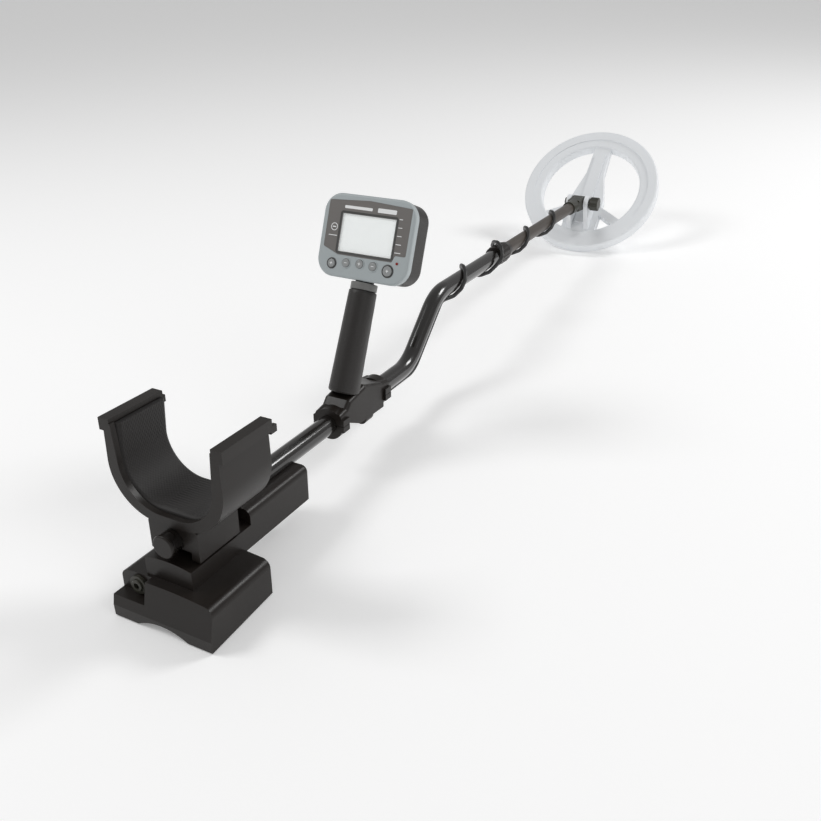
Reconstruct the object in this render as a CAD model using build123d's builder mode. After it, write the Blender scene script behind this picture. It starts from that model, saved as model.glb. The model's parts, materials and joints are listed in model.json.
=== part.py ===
from build123d import *
import math
import os

# Hand-held metal detector.
# Working frame while modelling: zero on the axis of the rear tube, +Y forward along the shaft, +X to the user's
# right, +Z up. The finished pieces are stood on the ground at the end, where the shaft falls a little forward.

os.makedirs("parts", exist_ok=True)

# ---------------------------------------------------------------- driving dimensions, mm and degrees
shaft_pitch = 3.4                    # fall of the shaft towards the coil when the detector stands
tube_r = 11.0                        # outside radius of the rear tube and the S-rod
tube_bore_r = 9.6
tube_rear = -222.0
tube_front = 96.0
running_gap = 0.08                   # radial clearance of turning and sliding fits

rod_rise = 72.0                      # height of the S-rod's front stretch over the rear tube
ramp_angle = 42.0
bend_r = 60.0
rod_rear = 100.0
rod_first_corner = 231.0
rod_front = 536.0
lower_rod_r = 9.5
lower_rod_rear = 400.0
lower_rod_front = 868.0

case_half = 27.0                     # electronics case under the tube
case_rear = -222.0
case_step = -136.0
case_front = -36.0
case_floor = -44.0
case_low_top = -17.0
case_high_top = -4.0
case_wall = 2.5

stand_half = 57.5                    # battery block that stands on the ground
stand_rear = -241.0
stand_front = -150.0
stand_top = -41.0
arch_top = -73.0
foot_inner = 42.0
cell_r = 7.2
cell_length = 50.0
cell_pitch = 16.0

cuff_rear = -212.0
cuff_front = -144.0
cuff_half = 66.0
cuff_tip = 103.0
cuff_floor = 14.5
cuff_wall = 5.0
cuff_rim = 9.0
cuff_liner_half = 50.0
cuff_liner_tip_half = 55.0
cuff_liner_floor = 22.0

grip_lean = 24.6
grip_foot = (0, 77.0, 25.0)
grip_length = 118.0
neck_length = 12.0

pod_lean = 20.7
pod_face_centre = (0, 133.0, 190.0)
pod_width = 116.0
pod_height = 93.0
pod_corner_r = 21.0
pod_depth = 42.0
bezel_depth = 9.0
pod_wall = 2.5
lcd_width = 68.0
lcd_height = 42.0
lcd_centre = (1.0, 3.5)
button_places = [(-38.0, -32.0), (-19.5, -29.5), (-2.0, -28.5), (15.0, -29.0), (34.0, -31.5)]
button_radii = [4.6, 4.6, 4.6, 4.6, 5.6]
button_travel = 1.0

coil_r = 126.0                       # search coil
coil_inner_r = 92.0
coil_half_depth = 12.0
coil_tilt = 46.0                     # coil plane against the shaft, front edge up
pivot_y = 905.0
pivot_back = 54.0                    # pivot behind the coil's centre, along the coil
pivot_above = 46.0                   # pivot over the coil's middle plane
ear_inner = 12.4
ear_outer = 20.4
bolt_r = 4.0

cable_r = 2.75
cable_pitch = 121.0
cable_phase_y = 500.0                # where the cable crosses the rod on its upper right side
cable_phase_angle = 38.0
cable_points_per_turn = 10

battery_door_half = 36.0


# ---------------------------------------------------------------- helpers
def station(y, height=0.0):
    """Cross-section plane at y along the shaft, seen from behind: x right, y up."""
    return Plane(origin=(0, y, height), x_dir=(1, 0, 0), z_dir=(0, -1, 0))


def block(low, high, mode=Mode.ADD):
    """Adds or cuts an upright block between two corners."""
    size = [abs(b - a) for a, b in zip(low, high)]
    middle = [(a + b) / 2 for a, b in zip(low, high)]
    with Locations(Vector(*middle)):
        Box(*size, mode=mode)


def tube_between(start, end, outer_r, inner_r, height=0.0):
    """A straight tube along the shaft."""
    with BuildPart() as made:
        with BuildSketch(station(start, height)):
            Circle(outer_r)
            if inner_r > 0:
                Circle(inner_r, mode=Mode.SUBTRACT)
        extrude(amount=start - end)
    return made.part


def shaft_cylinder(start, end, radius, height=0.0, x=0.0, mode=Mode.ADD):
    """Adds or cuts a cylinder along the shaft inside the current piece."""
    with Locations(Location((x, (start + end) / 2, height), (90, 0, 0))):
        Cylinder(radius, end - start, mode=mode)


def upright_cylinder(x, y, low, high, radius, mode=Mode.ADD):
    """Adds or cuts an upright cylinder inside the current piece."""
    with Locations((x, y, (low + high) / 2)):
        Cylinder(radius, high - low, mode=mode)


ramp = math.radians(ramp_angle)
rod_second_corner = rod_first_corner + rod_rise / math.tan(ramp)
bend_tangent = bend_r * math.tan(ramp / 2)


def rod_place(s):
    """Centre (y, z) and slope of the shaft at distance s from y = 0, measured along its axis."""
    first_straight = rod_first_corner - bend_tangent
    arc = bend_r * ramp
    ramp_run = rod_rise / math.sin(ramp) - 2 * bend_tangent
    if s <= first_straight:
        return s, 0.0, 0.0
    s -= first_straight
    if s <= arc:
        a = s / bend_r
        return first_straight + bend_r * math.sin(a), bend_r * (1 - math.cos(a)), a
    s -= arc
    y0 = first_straight + bend_r * math.sin(ramp)
    z0 = bend_r * (1 - math.cos(ramp))
    if s <= ramp_run:
        return y0 + s * math.cos(ramp), z0 + s * math.sin(ramp), ramp
    s -= ramp_run
    y1 = y0 + ramp_run * math.cos(ramp)
    z1 = z0 + ramp_run * math.sin(ramp)
    if s <= arc:
        a = ramp - s / bend_r
        return (y1 + bend_r * (math.sin(ramp) - math.sin(a)),
                z1 + bend_r * (math.cos(a) - math.cos(ramp)), a)
    return rod_second_corner + bend_tangent + s - arc, rod_rise, 0.0


path_surplus = 2 * bend_r * ramp + rod_rise / math.sin(ramp) - 2 * bend_tangent - (
    rod_second_corner + bend_tangent - rod_first_corner + bend_tangent)

# ---------------------------------------------------------------- planes of the tilted groups
grip_plane = Plane(origin=grip_foot, x_dir=(1, 0, 0),
                   z_dir=(0, math.sin(math.radians(grip_lean)), math.cos(math.radians(grip_lean))))
pod_plane = Plane(origin=pod_face_centre, x_dir=(1, 0, 0),
                  z_dir=(0, -math.cos(math.radians(pod_lean)), math.sin(math.radians(pod_lean))))
tilt = math.radians(coil_tilt)
coil_centre = (0,
               pivot_y + pivot_back * math.cos(tilt) + pivot_above * math.sin(tilt),
               rod_rise + pivot_back * math.sin(tilt) - pivot_above * math.cos(tilt))
coil_plane = Plane(origin=coil_centre, x_dir=(1, 0, 0), z_dir=(0, -math.sin(tilt), math.cos(tilt)))

# The ground touches the coil's rear lower edge, and the stand's feet are cut to it.
pitch = math.radians(shaft_pitch)
rim_round = 3.0
ground_offset = (-math.sin(pitch) * coil_centre[1] + math.cos(pitch) * coil_centre[2]
                 - (coil_r - rim_round) * math.sin(tilt - pitch)
                 - (coil_half_depth - rim_round) * math.cos(tilt - pitch) - rim_round)
ground = Plane(origin=(0, -ground_offset * math.sin(pitch), ground_offset * math.cos(pitch)),
               x_dir=(1, 0, 0), z_dir=(0, -math.sin(pitch), math.cos(pitch)))

# ================================================================ rear tube and electronics case
rear_tube = tube_between(tube_rear, tube_front, tube_r, tube_bore_r)
rear_tube.label = "rear_tube"

with BuildPart() as tube_end_plug:
    shaft_cylinder(tube_rear - 3, tube_rear, tube_r + 0.6)
    fillet(tube_end_plug.edges().group_by(Axis.Y)[0], 1.6)
    shaft_cylinder(tube_rear, tube_rear + 14, tube_bore_r)
tube_end_plug.part.label = "tube_end_plug"

with BuildPart() as electronics_case:
    with BuildSketch(station(case_rear)):
        with BuildLine():
            Polyline((-case_half, case_floor), (case_half, case_floor), (case_half, case_low_top - 3))
            ThreePointArc((case_half, case_low_top - 3), (0, case_low_top), (-case_half, case_low_top - 3))
            Line((-case_half, case_low_top - 3), (-case_half, case_floor))
        make_face()
    extrude(amount=case_rear - case_front)
    block((-case_half, case_step, case_low_top - 8), (case_half, case_front, case_high_top))
    long_edges = electronics_case.edges().filter_by(Axis.Y)
    fillet(long_edges.filter_by(lambda e: e.center().Z > case_high_top - 1), 8)
    fillet(electronics_case.edges().filter_by(Axis.Z).group_by(Axis.Y)[-1], 5)
    with BuildSketch(Plane.XY.offset(case_floor)):
        with Locations((0, (case_rear + case_front) / 2)):
            Rectangle(2 * (case_half - case_wall), case_front - case_rear - 2 * case_wall)
    extrude(amount=case_low_top - case_floor - 6, mode=Mode.SUBTRACT)
    shaft_cylinder(case_rear - 5, case_front + 5, tube_r, mode=Mode.SUBTRACT)
    for x, y in [(sx * (case_half - 6), y) for sx in (-1, 1) for y in (case_step + 10, case_front - 8)]:
        upright_cylinder(x, y, case_floor + 2.6, case_low_top - 6, 3.4)
        upright_cylinder(x, y, case_floor, case_low_top - 12, 1.3, mode=Mode.SUBTRACT)
electronics_case.part.label = "electronics_case"

with BuildPart() as electronics_cover:
    cover_rear = case_rear + case_wall
    block((-case_half + case_wall + 0.2, cover_rear + 0.2, case_floor),
          (case_half - case_wall - 0.2, case_front - case_wall - 0.2, case_floor + 2.4))
    for x, y in [(sx * (case_half - 6), y) for sx in (-1, 1) for y in (case_step + 10, case_front - 8)]:
        upright_cylinder(x, y, case_floor - 1, case_floor + 3, 1.7, mode=Mode.SUBTRACT)
        upright_cylinder(x, y, case_floor - 1, case_floor + 1.2, 2.9, mode=Mode.SUBTRACT)
electronics_cover.part.label = "electronics_cover"

with BuildPart() as case_screws:
    for x, y in [(sx * (case_half - 6), y) for sx in (-1, 1) for y in (case_step + 10, case_front - 8)]:
        upright_cylinder(x, y, case_floor, case_floor + 1.2, 2.8)
        upright_cylinder(x, y, case_floor + 1.2, case_floor + 14, 1.3)
case_screws.part.label = "case_screws"

board_z = case_floor + 5
with BuildPart() as main_board:
    block((-20, case_rear + 12, board_z), (20, case_step - 6, board_z + 1.6))
    block((-10, case_rear + 24, board_z + 1.6), (10, case_rear + 44, board_z + 3.2))
    for k in range(3):
        upright_cylinder(-13 + 13 * k, case_step - 16, board_z + 1.6, board_z + 9, 4)
    block((-16, case_step - 34, board_z + 1.6), (14, case_step - 26, board_z + 7))
main_board.part.label = "main_board"

# ================================================================ battery block that stands on the ground
stand_rake = 9.0
arch_rise_x = 3.0
pad_thickness = 1.5
with BuildPart() as battery_case:
    with BuildSketch(station(stand_rear)):
        with BuildLine():
            Polyline((foot_inner, -95), (stand_half, -95), (stand_half, stand_top - 1))
            ThreePointArc((stand_half, stand_top - 1), (0, stand_top + 2), (-stand_half, stand_top - 1))
            Polyline((-stand_half, stand_top - 1), (-stand_half, -95), (-foot_inner, -95),
                     (-foot_inner, arch_top - 6), (-foot_inner + arch_rise_x, arch_top))
            Line((-foot_inner + arch_rise_x, arch_top), (foot_inner - arch_rise_x, arch_top))
            Polyline((foot_inner - arch_rise_x, arch_top), (foot_inner, arch_top - 6), (foot_inner, -95))
        make_face()
    extrude(amount=stand_rear - stand_front)
    with BuildSketch(Plane.YZ.offset(-stand_half - 1)):
        with BuildLine():
            Polyline((stand_rear - 1, stand_top + 5), (stand_rear + stand_rake, stand_top + 5),
                     (stand_rear, -78), (stand_rear - 1, -78), close=True)
        make_face()
    extrude(amount=2 * stand_half + 2, mode=Mode.SUBTRACT)
    top_ridges = battery_case.edges().filter_by(Axis.Y).filter_by(lambda e: e.center().Z > stand_top - 3)
    fillet(top_ridges, 9)
    # rear fascia with a low arch between the feet
    with BuildSketch(station(stand_rear)):
        with BuildLine():
            Polyline((foot_inner, -95), (foot_inner, arch_top), (-foot_inner, arch_top), (-foot_inner, -95))
            ThreePointArc((-foot_inner, -95), (0, arch_top - 4), (foot_inner, -95))
        make_face()
    extrude(amount=-14)
    with BuildSketch(Plane.YZ.offset(-stand_half - 1)):
        with BuildLine():
            Polyline((stand_rear - 1, -70), (stand_rear + 1, -70), (stand_rear + 2, -96), (stand_rear - 1, -96),
                     close=True)
        make_face()
    extrude(amount=2 * stand_half + 2, mode=Mode.SUBTRACT)
    split(bisect_by=ground.offset(pad_thickness), keep=Keep.TOP)
    # pocket at the rear left for the headphone socket
    block((-stand_half - 1, stand_rear - 1, -62), (-20, stand_rear + 17, stand_top + 5), mode=Mode.SUBTRACT)
    # channel under the electronics case
    block((-case_half, case_rear, case_floor), (case_half, stand_front + 1, stand_top + 5), mode=Mode.SUBTRACT)
    # battery bay, opening and runners of the sliding door
    block((-33, -218, arch_top - 1), (33, -160, case_floor - 3), mode=Mode.SUBTRACT)
    shaft_cylinder(stand_rear + 12, stand_rear + 24, 6.3, height=-52, x=-36, mode=Mode.SUBTRACT)
battery_case.part.label = "battery_case"

door_z = arch_top
with BuildPart() as door_runners:
    for side in (-1, 1):
        with BuildSketch(station(-222)):
            with BuildLine():
                Polyline((side * 37.2, door_z), (side * 40, door_z), (side * 40, door_z - 4.6),
                         (side * 33.5, door_z - 4.6), (side * 33.5, door_z - 3.2),
                         (side * 37.2, door_z - 3.2), close=True)
            make_face()
        extrude(amount=-(stand_front + 222))
    add(battery_case.part, mode=Mode.SUBTRACT)
door_runners.part.label = "door_runners"

with BuildPart() as battery_door:
    block((-battery_door_half, -220, door_z - 2.8), (battery_door_half, stand_front - 3, door_z - 0.3))
    for k in range(4):
        block((-12, -168 + 4 * k, door_z - 3.5), (12, -166 + 4 * k, door_z - 2.8))
battery_door.part.label = "battery_door"

cell_z = arch_top + 1 + cell_r
cell_rear = -214.0
with BuildPart() as battery_cells:
    for k in range(4):
        x = (k - 1.5) * cell_pitch
        shaft_cylinder(cell_rear, cell_rear + cell_length - 1, cell_r, height=cell_z, x=x)
        shaft_cylinder(cell_rear + cell_length - 1, cell_rear + cell_length + 0.5, 2.7, height=cell_z, x=x)
battery_cells.part.label = "battery_cells"

with BuildPart() as battery_contacts:
    for k in range(4):
        x = (k - 1.5) * cell_pitch
        block((x - 6, -218, cell_z - 6), (x + 6, -217.2, cell_z + 6))
        shaft_cylinder(-217.2, cell_rear, 3.2, height=cell_z, x=x)
        block((x - 6, -160.8, cell_z - 6), (x + 6, -160, cell_z + 6))
        shaft_cylinder(cell_rear + cell_length + 0.5, -160.8, 1.5, height=cell_z, x=x)
battery_contacts.part.label = "battery_contacts"

with BuildPart() as headphone_socket:
    shaft_cylinder(stand_rear + 12, stand_rear + 24, 6.2, height=-52, x=-36)
    shaft_cylinder(stand_rear + 14, stand_rear + 17, 9.5, height=-52, x=-36)
    fillet(headphone_socket.edges().group_by(Axis.Y)[0], 1.0)
    shaft_cylinder(stand_rear + 11, stand_rear + 22, 3.2, height=-52, x=-36, mode=Mode.SUBTRACT)
headphone_socket.part.label = "headphone_socket"

with BuildPart() as foot_pads:
    for side in (-1, 1):
        with BuildSketch(ground):
            with Locations((side * 50, -175), (side * 50, -222)):
                RectangleRounded(11, 22, 3)
    extrude(amount=pad_thickness)
foot_pads.part.label = "foot_pads"

# ================================================================ arm cuff
def cuff_outline(half_top, half_wide, tip, floor, radius, y=cuff_rear):
    """Closed U outline of the cuff, from its rounded bottom up to the wing tips."""
    with BuildSketch(station(y)) as made:
        with BuildLine():
            FilletPolyline((-half_top, tip), (-half_wide, floor), (half_wide, floor), (half_top, tip), radius=radius)
            Line((half_top, tip), (-half_top, tip))
        make_face()
    return made.sketch


cuff_length = cuff_front - cuff_rear
cuff_outer = cuff_outline(cuff_half - 3, cuff_half, cuff_tip, cuff_floor, 50)
cuff_inner = cuff_outline(cuff_half - 3 - cuff_wall, cuff_half - cuff_wall, cuff_tip, cuff_floor + cuff_wall, 45)
cuff_mouth = cuff_outline(cuff_liner_tip_half, cuff_liner_half, cuff_tip, cuff_floor + cuff_rim, 43)

with BuildPart() as cuff_shell:
    extrude(cuff_outer, amount=-cuff_length)
    extrude(cuff_inner, amount=-cuff_length, mode=Mode.SUBTRACT)
    extrude(cuff_outer, amount=-6)
    extrude(cuff_mouth, amount=-6, mode=Mode.SUBTRACT)
    for side in (-1, 1):
        # rolled lip on each wing tip and a small tab at its front; the left wing has a hole for a strap
        block((side * 56, cuff_rear, cuff_tip - 1), (side * 68, cuff_front, cuff_tip + 4))
        block((side * 62, cuff_rear, cuff_tip - 8), (side * 68, cuff_front, cuff_tip - 1))
        block((side * 62, cuff_front, cuff_tip - 12), (side * 66, cuff_front + 9, cuff_tip - 5))
    with Locations(Location((-62, cuff_rear + 10, cuff_tip - 14), (0, 90, 0))):
        Cylinder(3, 16, mode=Mode.SUBTRACT)
    block((-20, cuff_rear + 8, cuff_floor), (20, cuff_front - 8, cuff_floor + 7))
    for y in (cuff_rear + 20, cuff_rear + 48):
        upright_cylinder(0, y, cuff_floor - 1, cuff_floor + 8, 2.2, mode=Mode.SUBTRACT)
        upright_cylinder(0, y, cuff_floor + 4, cuff_floor + 8, 4.2, mode=Mode.SUBTRACT)
cuff_shell.part.label = "cuff_shell"

pad_rear = cuff_rear + 6.4
pad_top = cuff_tip - 2
pad_outer = cuff_outline(cuff_half - 3 - cuff_wall - 0.4, cuff_half - cuff_wall - 0.4, pad_top,
                         cuff_floor + cuff_wall + 2.4, 44.6, y=pad_rear)
pad_inner = cuff_outline(cuff_liner_tip_half, cuff_liner_half, pad_top, cuff_floor + cuff_rim + 1, 43, y=pad_rear)
with BuildPart() as cuff_pad:
    extrude(pad_outer, amount=6.8 - cuff_length)
    extrude(pad_inner, amount=6.8 - cuff_length, mode=Mode.SUBTRACT)
cuff_pad.part.label = "cuff_pad"

with BuildPart() as cuff_saddle:
    block((-28, cuff_rear + 2, case_low_top + 0.3), (28, cuff_rear + 58, cuff_floor))
    block((-19, cuff_rear + 1, case_low_top), (19, cuff_rear + 59, -8), mode=Mode.SUBTRACT)
    block((-19, cuff_rear + 14, case_low_top), (-15, cuff_rear + 59, 9), mode=Mode.SUBTRACT)
    block((15, cuff_rear + 14, case_low_top), (19, cuff_rear + 59, 9), mode=Mode.SUBTRACT)
    fillet(cuff_saddle.edges().filter_by(Axis.Y).group_by(Axis.Z)[-1], 2.2)
    shaft_cylinder(cuff_rear, cuff_rear + 60, tube_r + running_gap, mode=Mode.SUBTRACT)
    for y in (cuff_rear + 20, cuff_rear + 48):
        upright_cylinder(0, y, tube_r, cuff_floor + 1, 1.6, mode=Mode.SUBTRACT)
cuff_saddle.part.label = "cuff_saddle"

with BuildPart() as cuff_screws:
    for y in (cuff_rear + 20, cuff_rear + 48):
        upright_cylinder(0, y, tube_r + 0.3, cuff_floor + 4, 1.6)
        upright_cylinder(0, y, cuff_floor + 4, cuff_floor + 6.6, 4.0)
cuff_screws.part.label = "cuff_screws"

# ================================================================ grip base, grip and neck
base_rear = 44.0
base_front = 152.0
clamp_length = 13.0
clamp_r = 18.5
with BuildPart() as grip_base:
    with BuildSketch(Plane.YZ.offset(-17)):
        with BuildLine():
            Polyline((base_rear, 4), (base_rear, 15), (base_rear + clamp_length, 17), (base_rear + 20, 24),
                     (98, 30), (116, 24), (base_front - 14, 17), (base_front, 15), (base_front, 0),
                     (base_front - 14, -15), (84, -13), (base_rear + clamp_length, 0), close=True)
        make_face()
    extrude(amount=34)
    side_edges = grip_base.edges().filter_by(lambda e: abs(abs(e.center().X) - 17) < 0.01)
    fillet(side_edges.filter_by(lambda e: e.center().Z > 14), 5)
    for y in (base_rear, base_front - clamp_length):
        block((-20, y, 0.6), (20, y + clamp_length, 8))
        shaft_cylinder(y, y + clamp_length, clamp_r)
    with BuildSketch(grip_plane):
        Circle(10.6)
    extrude(amount=14)
    shaft_cylinder(base_rear - 1, base_front + 1, tube_r, mode=Mode.SUBTRACT)
    block((-21, base_rear - 1, -20), (21, base_rear + clamp_length + 0.4, 0.6), mode=Mode.SUBTRACT)
    block((-21, base_front - clamp_length - 0.4, -20), (21, base_front + 1, 0.6), mode=Mode.SUBTRACT)
    for y in (base_rear, base_front - clamp_length):
        for side in (-1, 1):
            upright_cylinder(side * 16, y + clamp_length / 2, -1, 7, 1.5, mode=Mode.SUBTRACT)
grip_base.part.label = "grip_base"

with BuildPart() as clamp_caps:
    for y in (base_rear, base_front - clamp_length):
        block((-20, y, -7), (20, y + clamp_length, 0))
        shaft_cylinder(y, y + clamp_length, clamp_r)
        block((-21, y - 1, 0), (21, y + clamp_length + 1, 20), mode=Mode.SUBTRACT)
        shaft_cylinder(y - 1, y + clamp_length + 1, tube_r, mode=Mode.SUBTRACT)
        for side in (-1, 1):
            upright_cylinder(side * 16, y + clamp_length / 2, -9, 1, 1.7, mode=Mode.SUBTRACT)
            upright_cylinder(side * 16, y + clamp_length / 2, -9, -4, 3.3, mode=Mode.SUBTRACT)
clamp_caps.part.label = "clamp_caps"

with BuildPart() as clamp_screws:
    for y in (base_rear, base_front - clamp_length):
        for side in (-1, 1):
            upright_cylinder(side * 16, y + clamp_length / 2, -7.6, -4, 3.0)
            upright_cylinder(side * 16, y + clamp_length / 2, -4, 6.6, 1.5)
clamp_screws.part.label = "clamp_screws"

with BuildPart() as grip_post:
    with BuildSketch(grip_plane.offset(14)):
        Circle(10.6)
    extrude(amount=grip_length + neck_length - 14)
    with BuildSketch(grip_plane.offset(14)):
        Circle(8.4)
    extrude(amount=grip_length + neck_length - 14, mode=Mode.SUBTRACT)
    with BuildSketch(pod_plane.offset(-bezel_depth)):
        Rectangle(60, 120)
    extrude(amount=bezel_depth + 5, mode=Mode.SUBTRACT)
grip_post.part.label = "grip_post"

with BuildPart() as grip_sleeve:
    with BuildSketch(grip_plane.offset(13)):
        Ellipse(17.5, 20.0)
    with BuildSketch(grip_plane.offset(40)):
        Ellipse(16.6, 19.5)
    with BuildSketch(grip_plane.offset(80)):
        Ellipse(16.2, 17.8)
    with BuildSketch(grip_plane.offset(grip_length)):
        Ellipse(16.0, 17.0)
    loft()
    with BuildSketch(grip_plane.offset(12)):
        Circle(10.6)
    extrude(amount=grip_length, mode=Mode.SUBTRACT)
    add(grip_base.part, mode=Mode.SUBTRACT)
grip_sleeve.part.label = "grip_sleeve"

with BuildPart() as neck_collar:
    with BuildSketch(grip_plane.offset(grip_length)):
        Circle(15.2)
        Circle(10.6, mode=Mode.SUBTRACT)
    extrude(amount=neck_length - 4)
    fillet(neck_collar.edges().group_by(Axis.Z)[-1], 1.0)
neck_collar.part.label = "neck_collar"

# ================================================================ display pod
def pod_outline(margin, corner_less, depth):
    """Rounded outline of the pod, pulled in by a margin, at a depth behind its face."""
    with BuildSketch(pod_plane.offset(-depth)) as made:
        RectangleRounded(pod_width - 2 * margin, pod_height - 2 * margin, pod_corner_r - corner_less)
    return made.sketch


screw_spots = [(sx * (pod_width / 2 - 14), sy * (pod_height / 2 - 11)) for sx in (-1, 1) for sy in (-1, 1)]

with BuildPart() as pod_rear_shell:
    extrude(pod_outline(1, 1, bezel_depth), amount=-(pod_depth - bezel_depth))
    back_edges = pod_rear_shell.edges().filter_by(
        lambda e: abs(pod_plane.to_local_coords(e.center()).Z + pod_depth) < 0.1)
    fillet(back_edges, 9)
    with BuildSketch(pod_plane.offset(-bezel_depth)):
        RectangleRounded(pod_width - 2 - 2 * pod_wall, pod_height - 2 - 2 * pod_wall, pod_corner_r - 4)
    extrude(amount=-(pod_depth - bezel_depth - 10), mode=Mode.SUBTRACT)
    with BuildSketch(pod_plane.offset(-bezel_depth)):
        RectangleRounded(pod_width - 22, pod_height - 22, 10)
    extrude(amount=-(pod_depth - bezel_depth - pod_wall), mode=Mode.SUBTRACT)
    # sound slots of the speaker in the back, and the hole that takes the grip post
    for k in range(5):
        with BuildSketch(pod_plane.offset(-pod_depth - 1)):
            with Locations((0, 4 * k - 2)):
                SlotOverall(26 - 2 * abs(k - 2), 1.8)
        extrude(amount=6, mode=Mode.SUBTRACT)
    with BuildSketch(grip_plane.offset(grip_length - 5)):
        Circle(10.6)
    extrude(amount=neck_length + 5, mode=Mode.SUBTRACT)
    with BuildSketch(grip_plane.offset(grip_length - 5)):
        Circle(15.2)
    extrude(amount=neck_length + 1, mode=Mode.SUBTRACT)
    for spot in screw_spots:
        with BuildSketch(pod_plane.offset(-pod_depth + 8)):
            with Locations(spot):
                Circle(1.4)
        extrude(amount=pod_depth - 8 - bezel_depth, mode=Mode.SUBTRACT)
pod_rear_shell.part.label = "pod_rear_shell"

with BuildPart() as pod_bezel:
    extrude(pod_outline(0, 0, 0), amount=-bezel_depth)
    front_edges = pod_bezel.edges().filter_by(lambda e: abs(pod_plane.to_local_coords(e.center()).Z) < 0.1)
    fillet(front_edges, 2.6)
    extrude(pod_outline(pod_wall + 1, 4, pod_wall + 0.6), amount=-(bezel_depth - pod_wall - 0.6), mode=Mode.SUBTRACT)
    with BuildSketch(pod_plane):
        with Locations(lcd_centre):
            Rectangle(lcd_width + 2, lcd_height + 2)
    extrude(amount=-bezel_depth, mode=Mode.SUBTRACT)
    with BuildSketch(pod_plane) as panel_shape:
        with BuildLine():
            FilletPolyline((-52, 38), (-52, -14), (-32, -21.5), (37, -21.5), (40, -14), (53, -14), (53, 38),
                           (0, 41), close=True, radius=2.0)
        make_face()
    extrude(amount=-1.0, mode=Mode.SUBTRACT)
    for place, radius in zip(button_places, button_radii):
        with BuildSketch(pod_plane):
            with Locations(place):
                Circle(radius + 0.3)
        extrude(amount=-bezel_depth, mode=Mode.SUBTRACT)
pod_bezel.part.label = "pod_bezel"

with BuildPart() as face_panel:
    extrude(offset(panel_shape.sketch, amount=-0.15, mode=Mode.PRIVATE).moved(Location((0, 0, 0))), amount=-1.0)
    with BuildSketch(pod_plane):
        with Locations(lcd_centre):
            Rectangle(lcd_width, lcd_height)
    extrude(amount=-2, mode=Mode.SUBTRACT)
face_panel.part.label = "face_panel"

with BuildPart() as lcd_window:
    with BuildSketch(pod_plane.offset(-0.3)):
        with Locations(lcd_centre):
            Rectangle(lcd_width - 0.2, lcd_height - 0.2)
    extrude(amount=-1.6)
lcd_window.part.label = "lcd_window"

with BuildPart() as lcd_module:
    with BuildSketch(pod_plane.offset(-2.0)):
        with Locations(lcd_centre):
            Rectangle(lcd_width + 1, lcd_height + 1)
    extrude(amount=-4)
lcd_module.part.label = "lcd_module"

switch_depth = 8.0
with BuildPart() as pod_board:
    with BuildSketch(pod_plane.offset(-11.2)):
        with Locations((0, -4)):
            Rectangle(76, 58)
    extrude(amount=-1.6)
    with BuildSketch(pod_plane.offset(-6.1)):
        with Locations(lcd_centre):
            Rectangle(50, 30)
    extrude(amount=-5.1)
    for place in button_places:
        with BuildSketch(pod_plane.offset(-switch_depth)):
            with Locations(place):
                Rectangle(5, 5)
        extrude(amount=switch_depth - 11.2)
pod_board.part.label = "pod_board"

with BuildPart() as speaker:
    with BuildSketch(pod_plane.offset(-pod_depth + pod_wall)):
        with Locations((0, 6)):
            Circle(17)
    extrude(amount=4)
    with BuildSketch(pod_plane.offset(-pod_depth + pod_wall + 4)):
        with Locations((0, 6)):
            Circle(9)
    extrude(amount=5)
speaker.part.label = "speaker"

buttons = []
for index, (place, radius) in enumerate(zip(button_places, button_radii)):
    with BuildPart() as key:
        with BuildSketch(pod_plane.offset(1.5)):
            with Locations(place):
                Circle(radius)
        extrude(amount=-6.0)
        fillet(key.edges().group_by(SortBy.LENGTH)[-1].filter_by(
            lambda e: pod_plane.to_local_coords(e.center()).Z > 1), 0.7)
        with BuildSketch(pod_plane.offset(-4.5)):
            with Locations(place):
                Circle(2.0)
        extrude(amount=-(switch_depth - button_travel - 4.6))
    key.part.label = f"button_{index + 1}"
    buttons.append(key.part)

with BuildPart() as pod_screws:
    for spot in screw_spots:
        with BuildSketch(pod_plane.offset(-pod_depth + 9)):
            with Locations(spot):
                Circle(1.4)
        extrude(amount=pod_depth - 9 - 14)
pod_screws.part.label = "pod_screws"

with BuildPart() as screw_posts:
    for spot in screw_spots:
        with BuildSketch(pod_plane.offset(-pod_depth + 10)):
            with Locations(spot):
                Circle(3.2)
                Circle(1.4, mode=Mode.SUBTRACT)
        extrude(amount=pod_depth - 10 - bezel_depth)
    add(pod_rear_shell.part, mode=Mode.SUBTRACT)
screw_posts.part.label = "screw_posts"

# ================================================================ S-rod, lower rod and their lock
with BuildPart() as s_rod:
    with BuildLine():
        FilletPolyline((0, rod_rear, 0), (0, rod_first_corner, 0), (0, rod_second_corner, rod_rise),
                       (0, rod_front, rod_rise), radius=bend_r)
    with BuildSketch(station(rod_rear)):
        Circle(tube_r)
        Circle(tube_bore_r, mode=Mode.SUBTRACT)
    sweep()
s_rod.part.label = "s_rod"

lower_rod = tube_between(lower_rod_rear, lower_rod_front, lower_rod_r, 7.7, height=rod_rise)
lower_rod.label = "lower_rod"

collar_rear = 506.0
collar_step = 538.0
collar_front = 550.0
with BuildPart() as lock_collar:
    shaft_cylinder(collar_rear, collar_step, 14.4, height=rod_rise)
    with BuildSketch(station(collar_step, rod_rise)):
        Circle(14.4)
    with BuildSketch(station(collar_front, rod_rise)):
        Circle(12.2)
    loft()
    for k in range(16):
        angle = math.radians(22.5 * k)
        shaft_cylinder(collar_rear + 6, collar_step - 4, 0.9,
                       height=rod_rise + 14.3 * math.sin(angle), x=14.3 * math.cos(angle))
    shaft_cylinder(collar_rear - 1, collar_step, tube_r + running_gap, height=rod_rise, mode=Mode.SUBTRACT)
    shaft_cylinder(collar_step - 1, collar_front + 1, lower_rod_r + running_gap, height=rod_rise, mode=Mode.SUBTRACT)
lock_collar.part.label = "lock_collar"

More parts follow.
